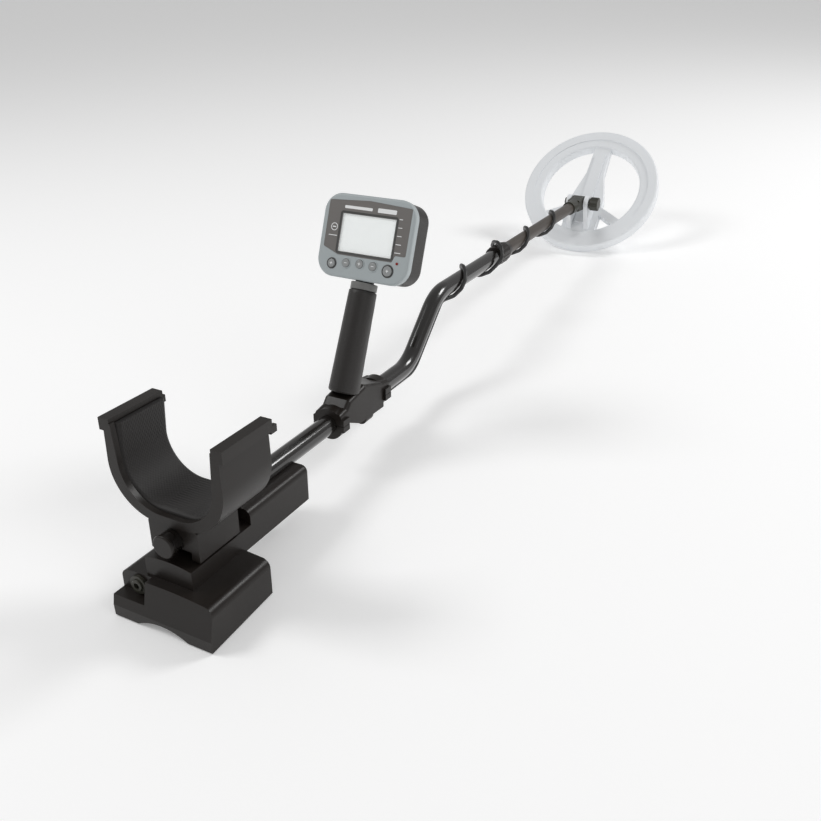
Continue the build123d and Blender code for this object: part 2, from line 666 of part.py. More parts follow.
tongue_half = 11.0
sleeve_rear = 848.0
with BuildPart() as rod_end:
    shaft_cylinder(lower_rod_front - 40, lower_rod_front, 7.7, height=rod_rise)
    shaft_cylinder(sleeve_rear, lower_rod_front + 6, 11.8, height=rod_rise)
    with BuildSketch(station(sleeve_rear, rod_rise)):
        Circle(lower_rod_r)
        Circle(7.7, mode=Mode.SUBTRACT)
    extrude(amount=sleeve_rear - lower_rod_front, mode=Mode.SUBTRACT)
    with BuildSketch(Plane.YZ.offset(-tongue_half)):
        with BuildLine():
            Polyline((lower_rod_front + 6, rod_rise + 10), (lower_rod_front + 6, rod_rise - 10))
            Line((lower_rod_front + 6, rod_rise - 10), (pivot_y, rod_rise - 12))
            ThreePointArc((pivot_y, rod_rise - 12), (pivot_y + 12, rod_rise), (pivot_y, rod_rise + 12))
            Line((pivot_y, rod_rise + 12), (lower_rod_front + 6, rod_rise + 10))
        make_face()
    extrude(amount=2 * tongue_half)
    fillet(rod_end.edges().filter_by(lambda e: abs(abs(e.center().X) - tongue_half) < 0.01
                                     and e.center().Y > pivot_y), 1.5)
    with Locations(Location((0, pivot_y, rod_rise), (0, 90, 0))):
        Cylinder(bolt_r + running_gap, 60, mode=Mode.SUBTRACT)
rod_end.part.label = "rod_end"

with BuildPart() as pivot_washers:
    for side in (-1, 1):
        with Locations(Location((side * (tongue_half + 0.6), pivot_y, rod_rise), (0, 90, 0))):
            Cylinder(11, 1.2)
            Cylinder(bolt_r + running_gap, 3, mode=Mode.SUBTRACT)
pivot_washers.part.label = "pivot_washers"

pivot_screw_tip = 34.0
with BuildPart() as coil_bolt:
    with Locations(Location(((pivot_screw_tip - ear_outer) / 2, pivot_y, rod_rise), (0, 90, 0))):
        Cylinder(bolt_r, pivot_screw_tip + ear_outer)
    with BuildSketch(Plane.YZ.offset(-ear_outer)):
        with Locations((pivot_y, rod_rise)):
            RegularPolygon(7.5, 6)
    extrude(amount=-4.5)
coil_bolt.part.label = "coil_bolt"

knob_inner = 20.8
knob_outer = 38.0
with BuildPart() as coil_knob:
    with BuildSketch(Plane.YZ.offset(knob_inner)):
        with Locations((pivot_y, rod_rise)):
            Circle(9)
    extrude(amount=3)
    with BuildSketch(Plane.YZ.offset(knob_inner + 3)):
        with Locations((pivot_y, rod_rise)):
            Circle(12)
            with PolarLocations(12.6, 6):
                Circle(2.2, mode=Mode.SUBTRACT)
    extrude(amount=knob_outer - knob_inner - 3)
    fillet(coil_knob.faces().sort_by(Axis.X)[-1].edges(), 1.2)
    with BuildSketch(Plane.YZ.offset(knob_inner - 1)):
        with Locations((pivot_y, rod_rise)):
            Circle(bolt_r + 0.05)
    extrude(amount=pivot_screw_tip - knob_inner + 1.4, mode=Mode.SUBTRACT)
coil_knob.part.label = "coil_knob"

# ================================================================ search coil, made flat and then set on its plane
parting = -2.0
coil_wall = 2.5
spine_top = 8.0
spine_low = -8.0
spine_half_front = 15.0
spine_half_rear = 32.0
step_r = 108.0


def ring_band(inner, outer, low, high, mode=Mode.ADD):
    """Adds or cuts a flat ring in the coil."""
    with BuildSketch(Plane.XY.offset(low)) as band:
        Circle(outer)
        Circle(inner, mode=Mode.SUBTRACT)
    extrude(band.sketch, amount=high - low, mode=mode)


def spine_shape(margin):
    """Plan of the spine and its two rear diagonal arms, pulled in by a margin."""
    reach = coil_inner_r + 1.5
    with BuildSketch() as made:
        with BuildLine():
            Polyline((-spine_half_rear + margin, -reach), (-spine_half_rear + margin, -22),
                     (-spine_half_front - 2 + margin, 34), (-spine_half_front + margin, reach),
                     (spine_half_front - margin, reach), (spine_half_front + 2 - margin, 34),
                     (spine_half_rear - margin, -22), (spine_half_rear - margin, -reach), close=True)
        make_face()
        for side in (-1, 1):
            with BuildLine():
                Polyline((side * 20, -52 + margin), (side * 20, -36 - margin),
                         (side * 36, -39 - margin), (side * 78, -61 - margin),
                         (side * 72, -77 + margin), (side * 34, -54 + margin), close=True)
            make_face()
        Circle(coil_inner_r + 1.5, mode=Mode.INTERSECT)
    return made.sketch


with BuildPart() as coil_top_shell:
    ring_band(coil_inner_r, coil_r, parting, coil_half_depth - 1.5)
    ring_band(step_r, coil_r, coil_half_depth - 1.5, coil_half_depth)
    fillet(coil_top_shell.edges().filter_by(GeomType.CIRCLE).filter_by(
        lambda e: e.center().Z > coil_half_depth - 2 and abs(e.radius - coil_r) < 0.01), rim_round)
    fillet(coil_top_shell.edges().filter_by(GeomType.CIRCLE).filter_by(
        lambda e: e.center().Z > coil_half_depth - 2 and abs(e.radius - coil_inner_r) < 0.01), rim_round)
    extrude(spine_shape(0).moved(Location((0, 0, parting))), amount=spine_top - parting)
    ring_band(coil_inner_r + coil_wall, coil_r - coil_wall, parting, coil_half_depth - 4.5, mode=Mode.SUBTRACT)
    extrude(spine_shape(coil_wall).moved(Location((0, 0, parting))), amount=spine_top - coil_wall - parting,
            mode=Mode.SUBTRACT)
    # raised ridge on the spine, and the two ears of the pivot
    with BuildSketch(Plane.XY.offset(spine_top)):
        Trapezoid(150, 20, 86, 86, rotation=90)
    extrude(amount=3)
    for side in (-1, 1):
        with BuildSketch(Plane.YZ.offset(side * ear_inner)):
            with BuildLine():
                Polyline((-pivot_back - 12.6, pivot_above + 3), (-pivot_back - 34, spine_top),
                         (-pivot_back + 34, spine_top), (-pivot_back + 12.6, pivot_above + 3))
                ThreePointArc((-pivot_back + 12.6, pivot_above + 3), (-pivot_back, pivot_above + 13),
                              (-pivot_back - 12.6, pivot_above + 3))
            make_face()
        extrude(amount=side * (ear_outer - ear_inner))
    # boss where the cable goes in
    block((-spine_half_rear + 0.5, -76, spine_top - 1), (-ear_outer + 0.4, -48, 27))
    with Locations(Location((0, -pivot_back, pivot_above), (0, 90, 0))):
        Cylinder(bolt_r, 60, mode=Mode.SUBTRACT)
coil_top_shell.part.label = "coil_top_shell"

with BuildPart() as coil_bottom_shell:
    ring_band(coil_inner_r, coil_r, -coil_half_depth, parting)
    fillet(coil_bottom_shell.edges().filter_by(GeomType.CIRCLE).group_by(Axis.Z)[0], rim_round)
    extrude(spine_shape(0).moved(Location((0, 0, spine_low))), amount=parting - spine_low)
    ring_band(coil_inner_r + coil_wall, coil_r - coil_wall, -coil_half_depth + coil_wall + 1, parting,
              mode=Mode.SUBTRACT)
    extrude(spine_shape(coil_wall).moved(Location((0, 0, spine_low + coil_wall))),
            amount=parting - spine_low - coil_wall, mode=Mode.SUBTRACT)
coil_bottom_shell.part.label = "coil_bottom_shell"

with BuildPart() as coil_windings:
    ring_band(coil_r - 10, coil_r - 3.2, -5, 5)
    ring_band(coil_inner_r + 3.2, coil_inner_r + 9, -4, 4)
coil_windings.part.label = "coil_windings"

gland_length = 20.0
gland_x = -26.0
gland_place = Location((gland_x, -62, 20), (90 - coil_tilt, 0, 0))
with BuildPart() as coil_gland:
    with Locations(gland_place):
        Cylinder(5.2, gland_length, align=(Align.CENTER, Align.CENTER, Align.MIN))
        Cylinder(6.6, 9.4, align=(Align.CENTER, Align.CENTER, Align.MIN))
        Cylinder(cable_r + 0.02, gland_length + 1, align=(Align.CENTER, Align.CENTER, Align.MIN),
                 mode=Mode.SUBTRACT)
    add(coil_top_shell.part, mode=Mode.SUBTRACT)
coil_gland.part.label = "coil_gland"

# ================================================================ cable wound along the shaft
cable_split_y = 556.0
cable_leave_y = 800.0
cable_bend = 12.0
ramp_gap = 12.0                      # the cable hangs clear in front of the sloping stretch
seat_z = -22.0
under_radius = tube_r + cable_r + 0.4
helix_start = cable_phase_y + path_surplus - (cable_phase_angle + 90) / 360 * cable_pitch - cable_pitch


def winding_radius(y):
    """Distance of the cable's corner points from the shaft's axis."""
    if y < collar_rear - 14:
        return 15.0
    if y < collar_front + 12:
        return 19.6
    return 13.3


def winding_point(s):
    """Corner point of the wound cable at distance s along the shaft, past its bends."""
    y, z, slope = rod_place(s)
    angle = math.radians(360 * (s - helix_start) / cable_pitch - 90)
    radius = winding_radius(y)
    across = radius * math.cos(angle)
    up = radius * math.sin(angle)
    return (across, y - up * math.sin(slope), z + up * math.cos(slope))


point_step = cable_pitch / cable_points_per_turn
split_s = cable_split_y + path_surplus
leave_s = cable_leave_y + path_surplus
upper_count = round((split_s - helix_start) / point_step)
lower_count = round((leave_s - split_s) / point_step)
split_points = [winding_point(helix_start + (upper_count + k) * point_step) for k in (0, 1)]
split_mid = tuple((a + b) / 2 for a, b in zip(*split_points))
corner_shift = under_radius * math.tan(ramp / 2)
upper_points = [(0, 116, seat_z), (0, 158, seat_z), (0, 178, -under_radius),
                (0, rod_first_corner + corner_shift + ramp_gap, -under_radius),
                (0, rod_second_corner + corner_shift + ramp_gap, rod_rise - under_radius)]
upper_radii = [cable_bend, cable_bend, 40.0, 16.0]
upper_points += [winding_point(helix_start + k * point_step) for k in range(1, upper_count + 1)]
upper_points.append(split_mid)
upper_radii += [cable_bend] * (len(upper_points) - 2 - len(upper_radii))
gland_mouth_y = 898.0
lower_points = [split_mid]
lower_points += [winding_point(helix_start + (upper_count + 1 + k) * point_step) for k in range(lower_count)]
lower_points += [(-19, 828, 60), (gland_x, 858, 48.2), (gland_x, gland_mouth_y + 6, 48.2)]


def cable_piece(points, radii):
    """Cable of round section along straight runs joined by tangent arcs."""
    with BuildPart() as made:
        with BuildLine() as route:
            FilletPolyline(*points, radius=radii)
        with BuildSketch(Plane(origin=route.line @ 0, z_dir=route.line % 0)):
            Circle(cable_r)
        sweep(path=route.line)
    length = sum(edge.length for edge in route.edges())
    print("cable length", round(length, 1), "volume / (section x length)",
          round(made.part.volume / (math.pi * cable_r ** 2 * length), 4))
    print("bend radii", sorted({round(edge.radius, 2) for edge in route.edges().filter_by(GeomType.CIRCLE)}))
    return made.part


cable_upper = cable_piece(upper_points, upper_radii)
cable_upper.label = "cable_upper"
cable_lower = cable_piece(lower_points, cable_bend)
cable_lower.label = "cable_lower"

with BuildPart() as cable_gland:
    shaft_cylinder(112, 128, 8.6, height=seat_z)
    shaft_cylinder(127, 136, 4.6, height=seat_z)
    shaft_cylinder(111, 137, cable_r + 0.02, height=seat_z, mode=Mode.SUBTRACT)
    add(grip_base.part, mode=Mode.SUBTRACT)
    shaft_cylinder(100, 150, tube_r + 0.05, mode=Mode.SUBTRACT)
cable_gland.part.label = "cable_gland"

# ================================================================ stand the detector on the ground and write it out
on_coil = coil_plane.location
pieces = [rear_tube, cable_upper, cable_lower, lower_rod] + buttons
pieces += [made.part for made in (
    tube_end_plug, electronics_case, electronics_cover, case_screws, main_board, battery_case, door_runners,
    battery_door, battery_cells, battery_contacts, headphone_socket, foot_pads, cuff_shell, cuff_pad, cuff_saddle,
    cuff_screws, grip_base, clamp_caps, clamp_screws, grip_post, grip_sleeve, neck_collar, pod_rear_shell,
    pod_bezel, face_panel, lcd_window, lcd_module, pod_board, speaker, pod_screws, screw_posts, s_rod,
    lock_collar, rod_end, pivot_washers, coil_bolt, coil_knob, cable_gland)]
coil_pieces = [made.part for made in (coil_top_shell, coil_bottom_shell, coil_windings, coil_gland)]

stance = Location((0, 0, 0), (-shaft_pitch, 0, 0))
placed = {piece.label: piece.moved(stance) for piece in pieces}
placed.update({piece.label: piece.moved(stance * on_coil) for piece in coil_pieces})
boxes = [piece.bounding_box() for piece in placed.values()]
low_y = min(box.min.Y for box in boxes)
high_y = max(box.max.Y for box in boxes)
low_z = min(box.min.Z for box in boxes)
settle = Location((0, -(low_y + high_y) / 2, -low_z))
print("ground by the coil", round(ground_offset, 3), "lowest point", round(low_z, 3))
print("shift after the turn", round(-(low_y + high_y) / 2, 4), round(-low_z, 4))
for label, piece in placed.items():
    standing = piece.moved(settle)
    standing.label = label
    export_step(standing, f"parts/{label}.step")
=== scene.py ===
import json
import math

import bmesh
import bpy
from mathutils import Matrix, Vector


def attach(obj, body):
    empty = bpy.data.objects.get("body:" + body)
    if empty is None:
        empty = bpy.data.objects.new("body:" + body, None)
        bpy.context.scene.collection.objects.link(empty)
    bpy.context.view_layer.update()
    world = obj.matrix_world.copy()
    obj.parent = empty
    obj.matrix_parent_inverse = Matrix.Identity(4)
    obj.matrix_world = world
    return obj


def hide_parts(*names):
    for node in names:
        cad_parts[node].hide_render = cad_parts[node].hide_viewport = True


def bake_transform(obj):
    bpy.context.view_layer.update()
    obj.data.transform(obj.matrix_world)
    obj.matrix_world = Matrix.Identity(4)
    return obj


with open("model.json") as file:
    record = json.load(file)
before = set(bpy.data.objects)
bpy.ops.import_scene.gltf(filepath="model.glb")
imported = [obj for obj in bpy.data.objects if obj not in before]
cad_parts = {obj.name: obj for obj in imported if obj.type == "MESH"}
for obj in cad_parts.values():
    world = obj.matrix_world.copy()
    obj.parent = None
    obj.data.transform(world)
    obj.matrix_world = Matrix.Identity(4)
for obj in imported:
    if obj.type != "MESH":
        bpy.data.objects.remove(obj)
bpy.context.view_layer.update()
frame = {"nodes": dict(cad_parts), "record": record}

# ---------------------------------------------------------------- the shaft's own frame, in millimetres
SHAFT_FALL = math.radians(3.4)
SHIFT_Y = -417.0776
SHIFT_Z = 71.9888
ROD_HEIGHT = 72
TO_ROW = (Matrix.Translation((0, SHIFT_Y / 1000, SHIFT_Z / 1000)) @ Matrix.Rotation(-SHAFT_FALL, 4, "X")
          @ Matrix.Scale(0.001, 4))


def row(x, y, z):
    """A point of the shaft frame, in millimetres, as metres in the row frame."""
    return TO_ROW @ Vector((x, y, z))


def tilted(origin, lean):
    """Local frame on the shaft, in millimetres: x right, y up the face, z out of it."""
    normal = Vector((0, -math.cos(lean), math.sin(lean)))
    right = Vector((1, 0, 0))
    up = normal.cross(right)
    place = Matrix((right, up, normal)).transposed().to_4x4()
    place.translation = Vector(origin)
    return TO_ROW @ place


POD = tilted(origin=(0, 133, 190), lean=math.radians(20.7))
GRIP_FOOT = (0, 77, 25)
GRIP_LEAN = math.radians(24.6)
GRIP = TO_ROW @ Matrix.Translation(GRIP_FOOT) @ Matrix.Rotation(-GRIP_LEAN, 4, "X")

# ---------------------------------------------------------------- materials
COAT_ROUGHNESS = 0.08
GRAIN_DEPTH = 0.0004
GLOSS_PATCHES = 26
WEAR_PATCHES = 9
LEAST_ROUGHNESS = 0.03


def material(name, colour, rough=0.5, metal=0.0, specular=0.5, coat=0.0, alpha=1.0, grain=0.0,
             grain_size=900.0, mottle=0.0, glow=0.0, sheen=0.0, wear=0.0):
    """Principled material with an optional fine grain, uneven gloss and lighter worn patches."""
    made = bpy.data.materials.new(name)
    made.use_nodes = True
    nodes = made.node_tree.nodes
    links = made.node_tree.links
    shader = nodes["Principled BSDF"]
    where = nodes.new("ShaderNodeTexCoord")

    def noise(scale, detail):
        """Strength of a noise that is fixed to the object."""
        texture = nodes.new("ShaderNodeTexNoise")
        texture.inputs["Scale"].default_value = scale
        texture.inputs["Detail"].default_value = detail
        links.new(where.outputs["Object"], texture.inputs["Vector"])
        return texture.outputs["Fac"]

    settings = {"Base Color": (*colour, 1), "Roughness": rough, "Metallic": metal,
                "Specular IOR Level": specular, "Coat Weight": coat, "Coat Roughness": COAT_ROUGHNESS,
                "Sheen Weight": sheen, "Alpha": alpha}
    if glow:
        settings["Emission Color"] = (*colour, 1)
        settings["Emission Strength"] = glow
    for socket, value in settings.items():
        shader.inputs[socket].default_value = value
    if grain:
        bump = nodes.new("ShaderNodeBump")
        bump.inputs["Strength"].default_value = grain
        bump.inputs["Distance"].default_value = GRAIN_DEPTH
        links.new(noise(grain_size, 3), bump.inputs["Height"])
        links.new(bump.outputs["Normal"], shader.inputs["Normal"])
    if mottle:
        spread = nodes.new("ShaderNodeMapRange")
        spread.inputs["To Min"].default_value = max(rough - mottle, LEAST_ROUGHNESS)
        spread.inputs["To Max"].default_value = min(rough + mottle, 1)
        links.new(noise(GLOSS_PATCHES, 5), spread.inputs["Value"])
        links.new(spread.outputs["Result"], shader.inputs["Roughness"])
    if wear:
        blend = nodes.new("ShaderNodeMix")
        blend.data_type = "RGBA"
        blend.inputs["A"].default_value = (*colour, 1)
        blend.inputs["B"].default_value = (*[c * (1 + wear) for c in colour], 1)
        links.new(noise(WEAR_PATCHES, 4), blend.inputs["Factor"])
        links.new(blend.outputs["Result"], shader.inputs["Base Color"])
    return made


RECIPES = {
    "tube_gloss_black": dict(colour=(0.010, 0.0085, 0.0075), rough=0.2, coat=0.6, mottle=0.06),
    "rod_dark": dict(colour=(0.05, 0.041, 0.034), rough=0.38, grain=0.12, grain_size=420, mottle=0.08,
                     wear=0.5),
    "plastic_black": dict(colour=(0.0105, 0.0082, 0.0068), rough=0.34, specular=0.3, grain=0.25,
                          grain_size=1300, mottle=0.07, wear=0.5),
    "rubber_black": dict(colour=(0.018, 0.018, 0.018), rough=0.7, grain=0.2),
    "cuff_foam": dict(colour=(0.013, 0.011, 0.0102), rough=0.62, grain=0.5, grain_size=700, sheen=0.12),
    "grip_foam": dict(colour=(0.015, 0.0125, 0.0112), rough=0.5, grain=0.7, grain_size=620, mottle=0.1,
                      sheen=0.1),
    "trim_light": dict(colour=(0.17, 0.17, 0.165), rough=0.4, mottle=0.05),
    "bezel_blue_grey": dict(colour=(0.4, 0.44, 0.45), rough=0.42, grain=0.12, grain_size=1500, mottle=0.06,
                            wear=0.08),
    "panel_taupe": dict(colour=(0.165, 0.155, 0.147), rough=0.46, grain=0.08, mottle=0.05),
    "lcd_window": dict(colour=(0.95, 0.97, 0.98), rough=0.05, specular=0.6, alpha=0.12),
    "lcd_face": dict(colour=(0.86, 0.88, 0.87), rough=0.4, glow=0.25),
    "button_rubber": dict(colour=(0.3, 0.31, 0.31), rough=0.4, coat=0.3),
    "circuit_board": dict(colour=(0.02, 0.12, 0.05), rough=0.45),
    "steel": dict(colour=(0.55, 0.55, 0.55), rough=0.3, metal=1, mottle=0.1),
    "contact_metal": dict(colour=(0.6, 0.57, 0.5), rough=0.28, metal=1),
    "cell_jacket": dict(colour=(0.1, 0.1, 0.11), rough=0.3),
    "coil_white": dict(colour=(0.83, 0.85, 0.87), rough=0.36, grain=0.08, grain_size=1100, mottle=0.06,
                       wear=0.05),
    "winding_tape": dict(colour=(0.5, 0.25, 0.1), rough=0.5),
    "fitting_dark": dict(colour=(0.034, 0.033, 0.024), rough=0.4, grain=0.2, mottle=0.08),
    "cable_black": dict(colour=(0.013, 0.0125, 0.0125), rough=0.42, grain=0.1),
}
FINISH = {name: material(name, **recipe) for name, recipe in RECIPES.items()}
MARK_LIGHT = material("mark_light", (0.88, 0.89, 0.89))
MARK_DARK = material("mark_dark", (0.06, 0.06, 0.058))
LENS_RED = material("lens_red", (0.25, 0.02, 0.015), rough=0.2, coat=0.5)

SLOT_OF = {entry["node"]: entry["material_slot"] for entry in frame["record"]["subparts"]}
for name, node in frame["nodes"].items():
    finish = FINISH[SLOT_OF[name]]
    if not node.material_slots:
        node.data.materials.append(finish)
    for place in node.material_slots:
        place.material = finish

BEVELLED = ("battery_case", "electronics_case", "cuff_shell", "cuff_saddle", "grip_base", "clamp_caps",
            "lock_collar", "rod_end", "coil_knob", "battery_door")
BEVEL_WIDTH = 0.0005
BEVEL_FROM = math.radians(35)
for name in BEVELLED:
    bevel = frame["nodes"][name].modifiers.new("soft edge", "BEVEL")
    bevel.width = BEVEL_WIDTH
    bevel.segments = 2
    bevel.limit_method = "ANGLE"
    bevel.angle_limit = BEVEL_FROM
    bevel.harden_normals = True


# ---------------------------------------------------------------- helpers for new pieces
def settle(name, mesh, slot, body=None, finish=None, smooth=35):
    """Makes an object of a bmesh, gives it its finish and lets it ride on a body if one is given."""
    bmesh.ops.recalc_face_normals(mesh, faces=mesh.faces)
    data = bpy.data.meshes.new(name)
    mesh.to_mesh(data)
    mesh.free()
    piece = bpy.data.objects.new(name, data)
    bpy.context.scene.collection.objects.link(piece)
    data.materials.append(finish or FINISH[slot])
    data.shade_smooth()
    data.set_sharp_from_angle(angle=math.radians(smooth))
    if body:
        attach(piece, body)
    return piece


def add_band(mesh, lower, upper):
    """A closed band of faces between two rings of vertices."""
    for a in range(len(lower)):
        b = (a + 1) % len(lower)
        mesh.faces.new((lower[a], lower[b], upper[b], upper[a]))


def face_ring(mesh, outline, height):
    """Vertices along an outline at a height over the pod's face, in millimetres."""
    return [mesh.verts.new(POD @ Vector((x, y, height))) for x, y in outline]


def add_prism(mesh, outline, low, high):
    """A prism over an outline on the pod's face, in millimetres."""
    bottom = face_ring(mesh, outline, low)
    top = face_ring(mesh, outline, high)
    mesh.faces.new(top)
    mesh.faces.new(bottom[::-1])
    add_band(mesh, bottom, top)


def add_loft(mesh, rings):
    """A closed skin over rings of points with equal counts."""
    made = [[mesh.verts.new(point) for point in points] for points in rings]
    for lower, upper in zip(made, made[1:]):
        add_band(mesh, lower, upper)
    mesh.faces.new(made[0][::-1])
    mesh.faces.new(made[-1])


def bar(x0, y0, x1, y1, cut=0.6):
    """Outline of a bar with clipped corners."""
    return [(x0 + cut, y0), (x1 - cut, y0), (x1, y0 + cut), (x1, y1 - cut), (x1 - cut, y1), (x0 + cut, y1),
            (x0, y1 - cut), (x0, y0 + cut)]


def ring(cx, cy, radius, sides=40):
    """Outline of a circle."""
    return [(cx + radius * math.cos(math.tau * k / sides), cy + radius * math.sin(math.tau * k / sides))
            for k in range(sides)]


# ---------------------------------------------------------------- grip: foam sleeve with soft finger waves
GRIP_ROUND = 72
GRIP_START = 0.5
GRIP_END = 117.6
GRIP_HALF_X = 17.3
GRIP_HALF_Y = 19.8
GRIP_TAPER_X = 1.6
GRIP_TAPER_Y = 3.0
FOOT_ROUND = 2.4
GRIP_STEP = 1.9
GRIP_STEPS = 58
WAVE_HEIGHT = 0.3
WAVE_SIDE_SHARE = 0.3
WAVE_CREST = 30
WAVE_PITCH = 23


def grip_ring(along, grow):
    """One ring of the foam sleeve at a distance along the grip's axis."""
    share = along / GRIP_END
    half_x = GRIP_HALF_X - GRIP_TAPER_X * share + grow
    half_y = GRIP_HALF_Y - GRIP_TAPER_Y * share + grow
    points = []
    for k in range(GRIP_ROUND):
        angle = math.tau * k / GRIP_ROUND
        front = max(0.0, math.sin(angle))
        wave = WAVE_HEIGHT * front * math.cos(math.tau * (along - WAVE_CREST) / WAVE_PITCH)
        x = (half_x + wave * WAVE_SIDE_SHARE) * math.cos(angle)
        y = (half_y + wave) * math.sin(angle)
        points.append(GRIP @ Vector((x, y, along)))
    return points


grip = bmesh.new()
steps = [(GRIP_START, -2.5), (GRIP_START + 0.8, -0.9), (GRIP_START + FOOT_ROUND, 0)]
steps += [(GRIP_START + FOOT_ROUND + GRIP_STEP * k, 0) for k in range(1, GRIP_STEPS + 1)]
steps += [(GRIP_END - 1.6, -0.1), (GRIP_END - 0.5, -0.9), (GRIP_END, -2.4)]
add_loft(grip, [grip_ring(along, grow) for along, grow in steps])
grip_foam = settle("grip_foam", grip, "grip_foam", "main")
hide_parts("grip_sleeve")

# ---------------------------------------------------------------- arm cuff: foam liner with an embossed grid
CUFF_REAR = -205.0
CUFF_END = -144.8
LINER_HALF_TOP = 57.4
LINER_HALF_WIDE = 60.0
LINER_FLOOR = 21.4
LINER_TIP = 100.6
LINER_RADIUS = 44.6
LINER_LOW = 3.0
LINER_HIGH = 5.6
WALL_POINTS = 24
BEND_POINTS = 64
EMBOSS_COUNT = 18
EMBOSS_SAMPLES = 6
EMBOSS_POINTS = 4
EMBOSS_BASE = 0.82
EMBOSS_RISE = 0.18


def liner_path(depth):
    """Points of the liner's section from the left tip round the bottom to the right tip."""
    half_top = LINER_HALF_TOP - depth
    half_wide = LINER_HALF_WIDE - depth
    bottom = LINER_FLOOR + depth
    radius = LINER_RADIUS - depth
    points = []
    for k in range(WALL_POINTS):
        share = k / WALL_POINTS
        x = -half_top - (half_wide - half_top) * share
        points.append((x, LINER_TIP + (bottom + radius - LINER_TIP) * share))
    for k in range(BEND_POINTS + 1):
        angle = math.radians(180 + 90 * k / BEND_POINTS)
        x = -half_wide + radius + radius * math.cos(angle)
        points.append((x, bottom + radius + radius * math.sin(angle)))
    return points + [(-x, z) for x, z in reversed(points)]


liner = bmesh.new()
outer_path = liner_path(0.0)
high_path = liner_path(LINER_HIGH)
low_path = liner_path(LINER_LOW)
sections = []
SAMPLES = EMBOSS_COUNT * EMBOSS_SAMPLES
for k in range(SAMPLES + 1):
    y = CUFF_REAR + (CUFF_END - CUFF_REAR) * k / SAMPLES
    edge = math.sqrt(min(1.0, min(k, SAMPLES - k) / EMBOSS_SAMPLES))
    inner = []
    for n, (a, b) in enumerate(zip(low_path, high_path)):
        along_wave = math.cos(math.tau * k / EMBOSS_SAMPLES)
        across_wave = math.cos(math.tau * n / EMBOSS_POINTS)
        level = edge * (EMBOSS_BASE + EMBOSS_RISE * (0.5 + 0.5 * along_wave * across_wave))
        inner.append((a[0] + (b[0] - a[0]) * level, a[1] + (b[1] - a[1]) * level))
    sections.append([row(x, y, z) for x, z in outer_path] + [row(x, y, z) for x, z in reversed(inner)])
add_loft(liner, sections)
cuff_liner = settle("cuff_liner", liner, "cuff_foam", "arm_cuff", smooth=60)
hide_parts("cuff_pad")

# ---------------------------------------------------------------- cable: the lower cable, parted on the rod
PARTING_Y = 806.0
CABLE_WELD = 0.00002


def cable_part(name, side):
    """The lower cable's part behind the parting plane (side -1) or ahead of it (side 1)."""
    source = frame["nodes"]["cable_lower"]
    mesh = bmesh.new()
    mesh.from_mesh(source.data)
    mesh.transform(source.matrix_world)
    forward = (row(0, 1, 0) - row(0, 0, 0)).normalized()
    bmesh.ops.bisect_plane(mesh, geom=mesh.verts[:] + mesh.edges[:] + mesh.faces[:],
                           plane_co=row(0, PARTING_Y, ROD_HEIGHT), plane_no=forward * side, clear_inner=True)
    bmesh.ops.remove_doubles(mesh, verts=mesh.verts, dist=CABLE_WELD)
    piece = settle(name, mesh, "cable_black", smooth=60)
    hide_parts("cable_lower")
    return piece


cable_on_rod = cable_part("cable_on_rod", -1)
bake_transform(cable_on_rod)
cable_tail = cable_part("cable_tail", 1)
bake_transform(cable_tail)

# ---------------------------------------------------------------- display face: plain bars and symbols
MARK_SUNK = -0.02
MARK_TOP = 0.12
LABEL_BARS = (bar(-31.6, 30.2, 3.7, 33.4), bar(10.5, 29.6, 34.0, 34.4), bar(-47.5, -1.4, -36.6, -0.6, 0.2))
EMBLEM_CENTRE = (-41.5, 8.5)
EMBLEM_INNER = 3.6
EMBLEM_OUTER = 4.4
EMBLEM_PARTS = 12
EMBLEM_BAR = bar(-43.6, 7.9, -39.4, 9.1, 0.3)
SCALE_MARKS = 5
SCALE_PITCH = 9
SCALE_LEFT = 38.6
SCALE_RIGHT = 46
SCALE_LOW = -11
SCALE_HIGH = -10.2
SCALE_SHORTENS = 0.8

marks = bmesh.new()
for outline in LABEL_BARS:
    add_prism(marks, outline, MARK_SUNK, MARK_TOP)
settle("face_labels", marks, "panel_taupe", "main", MARK_LIGHT)

marks = bmesh.new()
for k in range(EMBLEM_PARTS):
    a, b = [math.tau * (k + j) / EMBLEM_PARTS for j in (0, 1)]
    corners = ((EMBLEM_INNER, a), (EMBLEM_INNER, b), (EMBLEM_OUTER, b), (EMBLEM_OUTER, a))
    outline = [(EMBLEM_CENTRE[0] + r * math.cos(t), EMBLEM_CENTRE[1] + r * math.sin(t)) for r, t in corners]
    add_prism(marks, outline, MARK_SUNK, MARK_TOP)
add_prism(marks, EMBLEM_BAR, MARK_SUNK, MARK_TOP)
for k in range(SCALE_MARKS):
    right = SCALE_RIGHT - k * SCALE_SHORTENS
    rise = SCALE_PITCH * k
    add_prism(marks, bar(SCALE_LEFT, SCALE_LOW + rise, right, SCALE_HIGH + rise, 0.2), MARK_SUNK, MARK_TOP)
settle("face_symbols", marks, "panel_taupe", "main", MARK_LIGHT)

# ---------------------------------------------------------------- display face: dark frame round the window
SURROUND_OUTLINE = bar(-35.6, -20.2, 37.6, 27.2, 2)
SURROUND_OPENING = bar(-33.4, -17.9, 35.4, 24.9, 0.4)
SURROUND_HEIGHT = 0.35
SURROUND_LIP = 0.1

